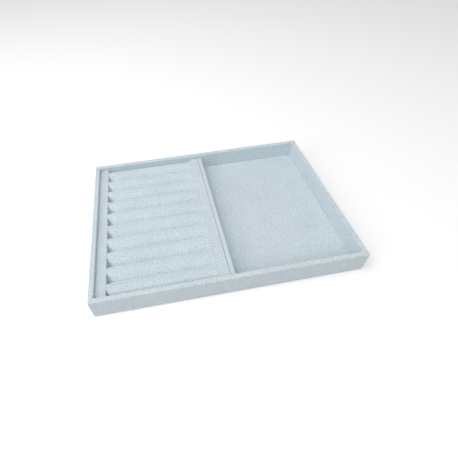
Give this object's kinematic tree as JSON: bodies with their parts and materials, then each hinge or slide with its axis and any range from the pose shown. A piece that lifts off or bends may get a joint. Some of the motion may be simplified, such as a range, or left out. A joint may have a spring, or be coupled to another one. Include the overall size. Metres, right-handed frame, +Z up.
{
  "type": "display tray",
  "caption": "Low velvet-covered display tray split by a divider: a lift-out insert of padded ring rolls between end rails, and an open compartment with a padded floor.",
  "frame": {"origin": "middle of the underside", "axes": "+X along the tray towards the open compartment, +Y to its back, +Z up"},
  "size_m": [0.35, 0.24, 0.035],
  "materials": {
    "velvet": "short matte pile, pale ice blue",
    "fibreboard": "raw sanded fibreboard",
    "card": "grey card",
    "paper": "pale matte backing paper",
    "foam": "white padding"
  },
  "bodies": {
    "tray": {"backing_paper": "paper", "base_board": "fibreboard", "front_wall_board": "fibreboard", "back_wall_board": "fibreboard", "left_wall_board": "fibreboard", "right_wall_board": "fibreboard", "wall_cover": "velvet", "divider_board": "fibreboard", "divider_cover": "velvet", "floor_lining": "velvet", "pad_card": "card", "pad_cover": "velvet"},
    "ring_insert": {"insert_card": "card", "insert_card_cover": "velvet", "left_rail": "fibreboard", "left_rail_cover": "velvet", "right_rail": "fibreboard", "right_rail_cover": "velvet", "ring_roll_foam_01": "foam", "ring_roll_foam_02": "foam", "ring_roll_foam_03": "foam", "ring_roll_foam_04": "foam", "ring_roll_foam_05": "foam", "ring_roll_foam_06": "foam", "ring_roll_foam_07": "foam", "ring_roll_foam_08": "foam", "ring_roll_foam_09": "foam", "ring_roll_foam_10": "foam", "ring_roll_cover_01": "velvet", "ring_roll_cover_02": "velvet", "ring_roll_cover_03": "velvet", "ring_roll_cover_04": "velvet", "ring_roll_cover_05": "velvet", "ring_roll_cover_06": "velvet", "ring_roll_cover_07": "velvet", "ring_roll_cover_08": "velvet", "ring_roll_cover_09": "velvet", "ring_roll_cover_10": "velvet"}
  },
  "joints": [
    {"name": "insert_lift", "type": "slide", "parent": "tray", "child": "ring_insert", "axis": [0, 0, 1], "range_m": [0, 0.06]}
  ]
}
